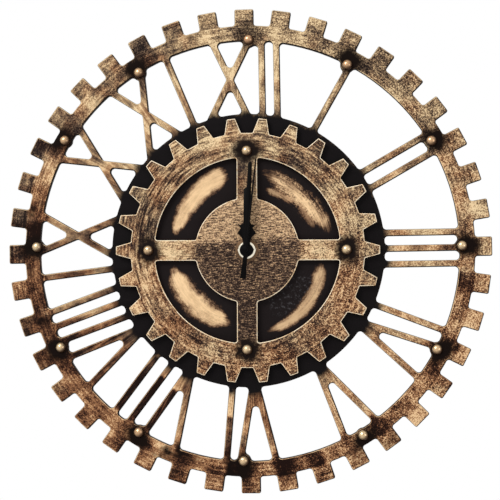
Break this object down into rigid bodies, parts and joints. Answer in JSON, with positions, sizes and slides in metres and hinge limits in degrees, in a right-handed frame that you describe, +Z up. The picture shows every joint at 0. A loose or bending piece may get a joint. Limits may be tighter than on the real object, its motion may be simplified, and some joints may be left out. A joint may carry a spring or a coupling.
{
  "type": "wall clock",
  "caption": "Open-frame wall clock sawn from board, with a toothed rim, bar numerals, a gear-shaped plate, domed studs and a battery movement that turns hour, minute and second hands.",
  "frame": {"origin": "centre of the hanger hole in the movement case, on the wall plane", "axes": "+Z up, +Y into the wall, so the dial faces -Y and +X is to the right seen from the front"},
  "size_m": [0.4, 0.0408, 0.4],
  "materials": {
    "bronze_board": "bronze paint dry-brushed over black",
    "bronze_plate": "bronze paint dry-brushed over black",
    "black_board": "matt black paint with bronze streaks",
    "stud_brass": "polished",
    "case_plastic": "matt black moulding",
    "fitting_brass": "turned",
    "nut_chrome": "bright plated",
    "washer_rubber": "matt",
    "hand_black": "satin black",
    "train_plastic": "natural moulding",
    "knob_plastic": "ribbed black moulding",
    "spring_steel": "plated",
    "magnet": "sintered",
    "copper_wire": "enamelled copper",
    "circuit_laminate": "green laminate",
    "chip_epoxy": "black resin",
    "battery_wrap": "plain wrapped cell"
  },
  "bodies": {
    "frame": {"rim_ring": "bronze_board", "numeral_01": "bronze_board", "numeral_02": "bronze_board", "numeral_03": "bronze_board", "numeral_04": "bronze_board", "numeral_05": "bronze_board", "numeral_06": "bronze_board", "numeral_07": "bronze_board", "numeral_08": "bronze_board", "numeral_09": "bronze_board", "numeral_10": "bronze_board", "numeral_11": "bronze_board", "numeral_12": "bronze_board", "centre_disc": "black_board", "gear_plate": "bronze_plate", "rim_studs": "stud_brass", "gear_studs": "stud_brass", "movement_case": "case_plastic", "movement_cover": "case_plastic", "threaded_bush": "fitting_brass", "rubber_washer": "washer_rubber", "brass_washer": "fitting_brass", "clamp_nut": "nut_chrome", "train_bridge": "train_plastic", "stator": "spring_steel", "coil_core": "spring_steel", "coil_bobbin": "train_plastic", "coil_winding": "copper_wire", "circuit_board": "circuit_laminate", "timer_chip": "chip_epoxy", "crystal": "spring_steel", "contact_positive": "spring_steel", "contact_negative": "spring_steel"},
    "hour": {"hour_wheel": "train_plastic", "hour_hand": "hand_black"},
    "minute": {"minute_pipe": "train_plastic", "clutch_spring": "spring_steel", "minute_hand": "hand_black", "minute_nut": "fitting_brass"},
    "second": {"second_wheel": "train_plastic", "second_hand": "hand_black"},
    "centre": {"centre_wheel": "train_plastic"},
    "third": {"third_wheel": "train_plastic"},
    "intermediate": {"intermediate_wheel": "train_plastic"},
    "rotor": {"rotor_pinion": "train_plastic", "rotor_magnet": "magnet"},
    "setting": {"minute_wheel": "train_plastic", "setting_knob": "knob_plastic"},
    "cell": {"battery": "battery_wrap"}
  },
  "joints": [
    {"name": "minute_hand_turn", "type": "hinge", "parent": "frame", "child": "minute", "pos_m": [0, 0, -0.03345], "axis": [0, 1, 0], "continuous": true},
    {"name": "hour_hand_turn", "type": "hinge", "parent": "frame", "child": "hour", "pos_m": [0, 0, -0.03345], "axis": [0, 1, 0], "continuous": true},
    {"name": "setting_knob_turn", "type": "hinge", "parent": "frame", "child": "setting", "pos_m": [0.00662, 0, -0.02466], "axis": [0, 1, 0], "continuous": true},
    {"name": "second_hand_turn", "type": "hinge", "parent": "frame", "child": "second", "pos_m": [0, 0, -0.03345], "axis": [0, 1, 0], "continuous": true},
    {"name": "third_wheel_turn", "type": "hinge", "parent": "frame", "child": "third", "pos_m": [-0.00933, 0, -0.02806], "axis": [0, 1, 0], "continuous": true},
    {"name": "centre_wheel_turn", "type": "hinge", "parent": "frame", "child": "centre", "pos_m": [0, 0, -0.03345], "axis": [0, 1, 0], "continuous": true},
    {"name": "intermediate_wheel_turn", "type": "hinge", "parent": "frame", "child": "intermediate", "pos_m": [0.00869, 0, -0.03578], "axis": [0, 1, 0], "continuous": true},
    {"name": "rotor_turn", "type": "hinge", "parent": "frame", "child": "rotor", "pos_m": [0.01555, 0, -0.03002], "axis": [0, 1, 0], "continuous": true},
    {"name": "battery_slide", "type": "slide", "parent": "frame", "child": "cell", "axis": [0, 1, 0], "range_m": [0, 0.02]}
  ],
  "couplings": [
    {"joint": "hour_hand_turn", "follows": "minute_hand_turn", "ratio": 0.083333},
    {"joint": "setting_knob_turn", "follows": "minute_hand_turn", "ratio": -0.33333},
    {"joint": "intermediate_wheel_turn", "follows": "second_hand_turn", "ratio": -4},
    {"joint": "rotor_turn", "follows": "second_hand_turn", "ratio": 30},
    {"joint": "third_wheel_turn", "follows": "second_hand_turn", "ratio": -0.13333},
    {"joint": "centre_wheel_turn", "follows": "second_hand_turn", "ratio": 0.016667}
  ]
}
